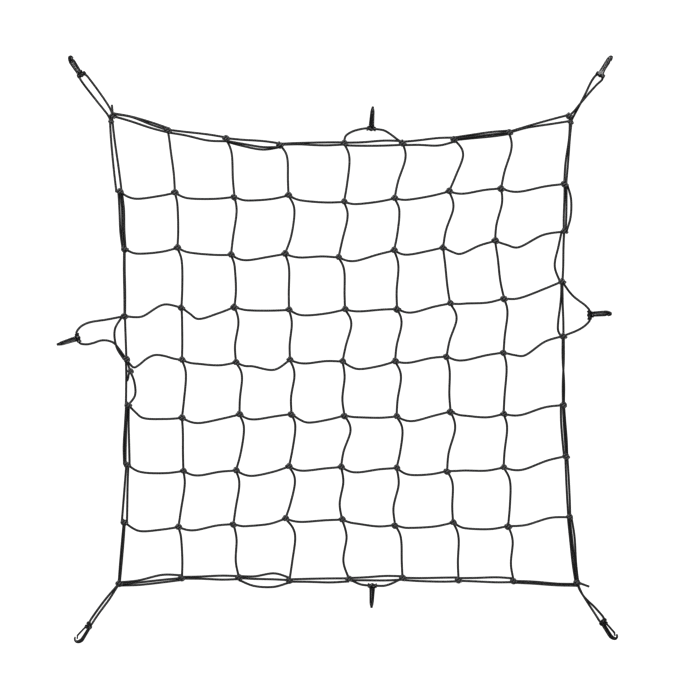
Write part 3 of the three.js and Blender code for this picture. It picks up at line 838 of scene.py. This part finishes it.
def way_hole(name):
    """What the loop's way through the hook cuts out of it."""
    build = Build()
    if is_corner(name):
        build.tube(spline(way_through(name), BORE_STEP), BORE_RADIUS, sides=BORE_SIDES)
    else:
        cylinder_along_t(build, 0, 0, BORE_RADIUS, 2 * BAR_LENGTH)
    return build


def pin_hole():
    build = Build()
    cylinder_along_t(build, *GATE_PIN, PIN_HOLE_RADIUS, BAR_LENGTH)
    return build


def hook_piece(name, matrix):
    """Cut in its own frame, so that all eight are alike, then laid where it lies."""
    hook = hook_shape().object(f"snap_hook_{name}")
    fused(hook)
    cut_away(hook, way_hole(name))
    cut_away(hook, pin_hole())
    hook.data.transform(Matrix.Scale(1 / MM, 4))
    hook.data.transform(matrix)
    hook.data.transform(Matrix.Scale(MM, 4))
    return hook


def gate_piece(name, matrix):
    build = Build()
    build.rings(strap_rings(GATE_SECTIONS, GATE_WIDTH, fine=SECTION_STEPS, corners=gate_corners))
    cylinder_along_t(build, *GATE_PIN, GATE_ROOT_RADIUS, GATE_WIDTH)
    cylinder_along_t(build, *GATE_PIN, GATE_PIN_RADIUS, GATE_WIDTH + 2 * (TOUCH_GAP + CHEEK_THICKNESS))
    return build.object(f"snap_gate_{name}", matrix)


# ---- Loops ----


def is_corner(name):
    return LOOPS[name]["start"] == LOOPS[name]["end"]


def way_through(name):
    """The loop's way through its hook's T-bar, in the hook's frame: straight, or a turn at a corner."""
    if not is_corner(name):
        return [Vector((0, side * STRAIGHT_WAY, 0)) for side in (-1, -0.5, 0.5, 1)]
    angles = [math.radians(degrees) for degrees in LOOP_TURNS]
    radius = LOOP_TURN_RADIUS
    return [Vector((radius * (math.cos(angle) - 1), radius * math.sin(angle), 0)) for angle in angles]


def loop_leg(knot_at, places, exit_at):
    """From a knot along the floor and up to where the loop enters its hook, that last point left out."""
    flat = [Vector((knot_at.x, knot_at.y, 0))]
    flat += [Vector((*place, 0)[:3]) for place in places]
    flat.append(Vector((exit_at.x, exit_at.y, 0)))
    length = length_of(spline(flat, 1))
    line = spline(flat, length / math.ceil(length / LOOP_STEP))
    out = []
    for k, point in enumerate(line[:-1]):
        share = min(length * (1 - k / (len(line) - 1)) / LOOP_DROP, 1)
        rise = (exit_at.z - CORD_RADIUS) * (1 - share) ** 2 * (1 + 2 * share)
        out.append(Vector((point.x, point.y, CORD_RADIUS + point.z + rise)))
    return out


def loop_line(name):
    """The middle line of a loop from its first knot through its hook to its last."""
    loop = LOOPS[name]
    inside = [hook_frame(name) @ p for p in way_through(name)]
    last = at(loop["out"][-1][:2])
    if (last - inside[0]).length > (last - inside[-1]).length:
        inside.reverse()
    first = at(loop["start_at"]) if "start_at" in loop else knot_place(*loop["start"])
    out = loop_leg(first, loop["out"], inside[0])
    back = loop_leg(knot_place(*loop["end"]), loop["back"][::-1], inside[-1])
    return spline(out + inside + back[::-1], LOOP_POINTS_APART)


loop_pieces = {}
for name in LOOPS:
    build = Build()
    line = loop_line(name)
    build.tube(line, CORD_RADIUS, LOOP_SIDES)
    loop_pieces[name] = (build.object(f"cord_{name}"), line)

net_mesh = mesh_piece()
net_border = border_piece()

hook_pieces, gate_pieces = {}, {}
for name in HOOKS:
    matrix = hook_frame(name)
    hook_pieces[name] = hook_piece(name, matrix)
    gate_pieces[name] = gate_piece(name, matrix)

# ---- Materials ----

BRAID_PITCH = 3.4  # millimetres
BRAID_STRANDS = 6
BRAID_DEPTH = 0.00025  # metres, as the next
SKIN_DEPTH = 0.0001
# Each pair is the darker and the lighter colour of a surface. On the cord the darker is painted shade
# between the braid's strands and the lighter is a painted highlight on their tops; on the plastic they are
# patches of its own tone.
STRAIGHT_COLOURS = ((0.004, 0.004, 0.0042), (0.014, 0.014, 0.0148))
# In the knots the cord is painted paler throughout, a painted highlight, over the braid's painted shade
# and highlight.
KNOT_HIGHLIGHT_COLOURS = ((0.018, 0.018, 0.0185), (0.075, 0.075, 0.077))
HOOK_COLOURS = ((0.005, 0.005, 0.0055), (0.009, 0.009, 0.01))
GATE_COLOURS = ((0.007, 0.007, 0.0075), (0.012, 0.012, 0.013))
HOOK_ROUGHNESS, GATE_ROUGHNESS = 0.36, 0.34


class Nodes:
    """A node material with one Principled shader and short ways to add what feeds it."""

    def __init__(self, name):
        self.material = bpy.data.materials.new(name)
        self.material.use_nodes = True
        self.tree = self.material.node_tree
        self.tree.nodes.clear()
        self.shader = self.add("ShaderNodeBsdfPrincipled")
        output = self.add("ShaderNodeOutputMaterial")
        self.link(self.shader.outputs["BSDF"], output.inputs["Surface"])

    def add(self, kind, **settings):
        node = self.tree.nodes.new(kind)
        for key, value in settings.items():
            setattr(node, key, value)
        return node

    def link(self, source, target):
        self.tree.links.new(source, target)

    def maths(self, operation, *inputs):
        node = self.add("ShaderNodeMath", operation=operation)
        for socket, value in zip(node.inputs, inputs):
            if isinstance(value, (int, float)):
                socket.default_value = value
            else:
                self.link(value, socket)
        return node.outputs["Value"]

    def noise(self, vector, scale, detail=3):
        node = self.add("ShaderNodeTexNoise")
        node.inputs["Scale"].default_value = scale
        node.inputs["Detail"].default_value = detail
        self.link(vector, node.inputs["Vector"])
        return node.outputs["Fac"]

    def ramp(self, factor, dark, light, low=0.35, high=0.65):
        node = self.add("ShaderNodeMapRange")
        node.inputs["From Min"].default_value = low
        node.inputs["From Max"].default_value = high
        self.link(factor, node.inputs["Value"])
        mix = self.add("ShaderNodeMix", data_type="RGBA")
        mix.inputs["A"].default_value = (*dark, 1)
        mix.inputs["B"].default_value = (*light, 1)
        self.link(node.outputs["Result"], mix.inputs["Factor"])
        return mix.outputs["Result"]

    def bump(self, height, strength, distance):
        node = self.add("ShaderNodeBump")
        node.inputs["Strength"].default_value = strength
        node.inputs["Distance"].default_value = distance
        self.link(height, node.inputs["Height"])
        self.link(node.outputs["Normal"], self.shader.inputs["Normal"])


def cord_material():
    """Black braided sheath: fine diamonds that wind both ways round the cord, with painted shade between
    the strands and a painted highlight on their tops; in the knots it is painted paler still, as a
    highlight.
    """
    nodes = Nodes("braided_cord")
    weave = nodes.add("ShaderNodeAttribute", attribute_name="weave")
    split = nodes.add("ShaderNodeSeparateXYZ")
    nodes.link(weave.outputs["Vector"], split.inputs["Vector"])
    along = nodes.maths("MULTIPLY", split.outputs["X"], 2 * math.pi / BRAID_PITCH)
    around = nodes.maths("MULTIPLY", split.outputs["Y"], 2 * math.pi * BRAID_STRANDS)
    one = nodes.maths("SINE", nodes.maths("ADD", along, around))
    other = nodes.maths("SINE", nodes.maths("SUBTRACT", along, around))
    height = nodes.maths("MULTIPLY", one, other)
    place = nodes.add("ShaderNodeTexCoord").outputs["Object"]
    lint = nodes.noise(place, 900)
    # The braid's height paints shade into the gaps between its strands and a highlight on their tops.
    straight = nodes.ramp(height, *STRAIGHT_COLOURS, -0.7, 0.7)
    # In the knots the whole cord is painted paler, as a highlight.
    knot_highlight = nodes.ramp(height, *KNOT_HIGHLIGHT_COLOURS, -0.7, 0.7)
    both = nodes.add("ShaderNodeMix", data_type="RGBA")
    nodes.link(split.outputs["Z"], both.inputs["Factor"])
    nodes.link(straight, both.inputs["A"])
    nodes.link(knot_highlight, both.inputs["B"])
    nodes.link(both.outputs["Result"], nodes.shader.inputs["Base Color"])
    strands, fluff = nodes.maths("MULTIPLY", height, 0.5), nodes.maths("MULTIPLY", lint, 0.35)
    nodes.bump(nodes.maths("ADD", strands, fluff), 0.8, BRAID_DEPTH)
    nodes.shader.inputs["Roughness"].default_value = 0.5
    nodes.shader.inputs["Sheen Weight"].default_value = 0.03
    nodes.shader.inputs["Sheen Roughness"].default_value = 0.45
    nodes.shader.inputs["Specular IOR Level"].default_value = 0.5
    return nodes.material


def plastic_material(name, dark, light, roughness):
    """Moulded black plastic: glossy, with a faint skin texture and duller patches where it has rubbed."""
    nodes = Nodes(name)
    place = nodes.add("ShaderNodeTexCoord").outputs["Object"]
    patches = nodes.noise(place, 140, 4)
    nodes.link(nodes.ramp(patches, dark, light), nodes.shader.inputs["Base Color"])
    rub = nodes.maths("ADD", nodes.maths("MULTIPLY", patches, 0.16), roughness - 0.08)
    nodes.link(rub, nodes.shader.inputs["Roughness"])
    nodes.bump(nodes.noise(place, 1500, 2), 0.05, SKIN_DEPTH)
    nodes.shader.inputs["Specular IOR Level"].default_value = 0.55
    return nodes.material


CORD = cord_material()
HOOK = plastic_material("hook_plastic", *HOOK_COLOURS, HOOK_ROUGHNESS)
GATE = plastic_material("gate_plastic", *GATE_COLOURS, GATE_ROUGHNESS)


def dress(obj, material, slot_name, body, *nodes):
    obj.data.materials.clear()
    obj.data.materials.append(material)
    for polygon in obj.data.polygons:
        polygon.use_smooth = True
    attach(obj, body)
    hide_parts(*nodes)


dress(net_mesh, CORD, "cord", "net", "mesh")
dress(net_border, CORD, "cord", "net", "border")
for name in HOOKS:
    cord, line = loop_pieces[name]
    dress(cord, CORD, "cord", "net", f"loop_{name}")
    dress(hook_pieces[name], HOOK, "hook", "net", f"hook_{name}")
    dress(gate_pieces[name], GATE, "gate", f"gate_{name}_body", f"gate_{name}")

# ---- Floor and light ----

FLOOR_HALF = 40.0  # metres: far enough that its edge stays out of low views
FLOOR_GLOW = 0.97  # the floor lights itself, so it is an even white without shadows, as in the photograph
SKY_STRENGTH = 0.3
GAMMA = 0.54  # deepens the dark tones, as the black cord and plastic have them in the photograph

floor_mesh = bpy.data.meshes.new("floor")
floor_mesh.from_pydata(
    [(x * FLOOR_HALF, y * FLOOR_HALF, 0) for x, y in ((-1, -1), (1, -1), (1, 1), (-1, 1))],
    [],
    [(0, 1, 2, 3)],
)
floor = bpy.data.objects.new("floor", floor_mesh)
bpy.context.scene.collection.objects.link(floor)
floor_nodes = Nodes("floor_paper")
floor_nodes.shader.inputs["Base Color"].default_value = (0.04, 0.04, 0.04, 1)
floor_nodes.shader.inputs["Emission Color"].default_value = (1, 1, 1, 1)
floor_nodes.shader.inputs["Emission Strength"].default_value = FLOOR_GLOW
floor_nodes.shader.inputs["Specular IOR Level"].default_value = 0
floor_nodes.shader.inputs["Roughness"].default_value = 0.9
floor_mesh.materials.append(floor_nodes.material)

world = bpy.data.worlds.new("studio")
bpy.context.scene.world = world
world.use_nodes = True
world.node_tree.nodes["Background"].inputs["Color"].default_value = (1, 1, 1, 1)
world.node_tree.nodes["Background"].inputs["Strength"].default_value = SKY_STRENGTH
bpy.context.scene.view_settings.view_transform = "Standard"
bpy.context.scene.view_settings.gamma = GAMMA


def softbox(name, place, size, power):
    """A soft light that looks at the middle of the scene."""
    data = bpy.data.lights.new(name, "AREA")
    data.shape = "RECTANGLE"
    data.size, data.size_y = size
    data.energy = power
    light = bpy.data.objects.new(name, data)
    light.location = place
    light.rotation_euler = (-Vector(place)).to_track_quat("-Z", "Y").to_euler()
    bpy.context.scene.collection.objects.link(light)


# The key light stands at the upper left. The others, from above and below in the picture and from the
# left, show the ribs and rims of the hooks.
softbox("key_light", (-2.2, 1.9, 2.8), (1.5, 1.1), 330)
softbox("back_light", (1.2, 2.8, 1.7), (1.5, 1.0), 160)
softbox("front_light", (1.3, -2.0, 2.1), (1.3, 1.0), 120)
softbox("left_light", (-2.6, -1.8, 2.6), (1.8, 1.4), 40)
